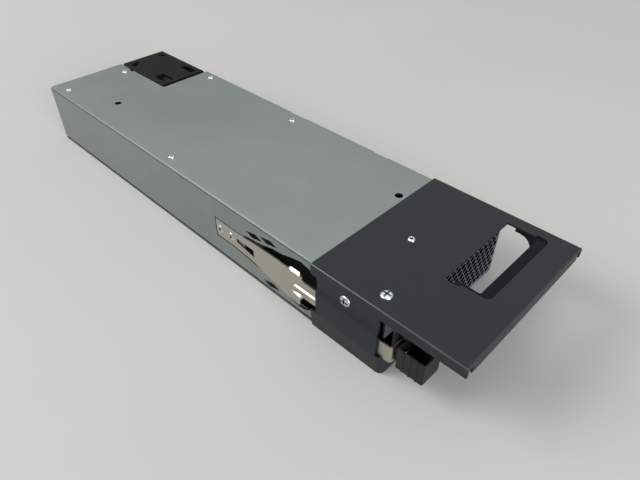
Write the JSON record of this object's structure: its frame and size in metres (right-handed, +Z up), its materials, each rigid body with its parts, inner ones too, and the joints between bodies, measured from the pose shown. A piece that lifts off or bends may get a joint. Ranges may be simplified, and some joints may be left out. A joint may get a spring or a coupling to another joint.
{
  "type": "hot swap server power supply",
  "caption": "Hot swap server power supply: galvanised 1U casing, black front cover whose plate is a handle with a hand hole, sprung side latch, counter-rotating fans.",
  "frame": {"origin": "on the underside, in the middle of the casing's width, in line with the seam between the galvanised casing and the black front cover", "axes": "+Y along the length, from the handle end towards the end that goes into the server; +Z up out of the roof; +X to the right seen from the handle end; the latch is on the -X side"},
  "size_m": [0.097, 0.342, 0.0414],
  "materials": {
    "galvanised_steel": "satin spangled zinc",
    "black_paint": "satin powder coat",
    "grille_paint": "matt grey-black",
    "black_plastic": "fine moulded texture",
    "grey_plastic": "fine moulded texture",
    "fan_plastic": "moulded glass-filled",
    "spring_steel": "bright rolled",
    "zinc_plate": "bright zinc plate",
    "brass_contact": "plated",
    "lamp_guide": "clear",
    "circuit_board": "solder resist",
    "film": "film",
    "ferrite": "sintered",
    "aluminium": "extruded",
    "capacitor_sleeve": "shrink sleeve",
    "winding_tape": "polyester tape"
  },
  "bodies": {
    "root": {"ac_inlet": "black_plastic", "base_tray": "galvanised_steel", "board_standoffs": "brass_contact", "bridge_heatsink": "aluminium", "bulk_capacitors": "capacitor_sleeve", "control_board": "circuit_board", "cover_rivets": "zinc_plate", "fan_front_frame": "fan_plastic", "fan_guard": "fan_plastic", "fan_rear_frame": "fan_plastic", "fan_screws": "zinc_plate", "front_cover": "black_paint", "front_grille": "grille_paint", "inlet_pins": "brass_contact", "insulator_sheet": "film", "latch_anchor": "spring_steel", "latch_bracket": "galvanised_steel", "latch_foot": "black_paint", "latch_rivets": "zinc_plate", "line_filter": "ferrite", "main_board": "circuit_board", "output_capacitors": "capacitor_sleeve", "output_choke": "ferrite", "output_connector": "black_plastic", "output_contacts": "brass_contact", "output_heatsink": "aluminium", "plate_rivet": "zinc_plate", "plate_screw": "zinc_plate", "power_transistors": "black_plastic", "rear_panel": "galvanised_steel", "side_screw": "zinc_plate", "status_lamp": "lamp_guide", "top_cover": "galvanised_steel", "transformer_core": "ferrite", "transformer_winding": "winding_tape"},
    "latch": {"latch_blade": "spring_steel", "thumb_grip": "grey_plastic", "grip_rivet": "zinc_plate"},
    "rear_impeller": {"fan_rear_rotor": "fan_plastic"},
    "front_impeller": {"fan_front_rotor": "fan_plastic"}
  },
  "joints": [
    {"name": "latch_press", "type": "hinge", "parent": "root", "child": "latch", "pos_m": [-0.04615, 0.049, 0.0196], "axis": [0, 0, 1], "range_deg": [0, 3], "stiffness_Nm_per_rad": 2},
    {"name": "rear_fan_spin", "type": "hinge", "parent": "root", "child": "rear_impeller", "pos_m": [0.02765, 0.2407, 0.02], "axis": [0, 1, 0], "continuous": true},
    {"name": "front_fan_spin", "type": "hinge", "parent": "root", "child": "front_impeller", "pos_m": [0.02765, 0.2149, 0.02], "axis": [0, 1, 0], "continuous": true}
  ]
}
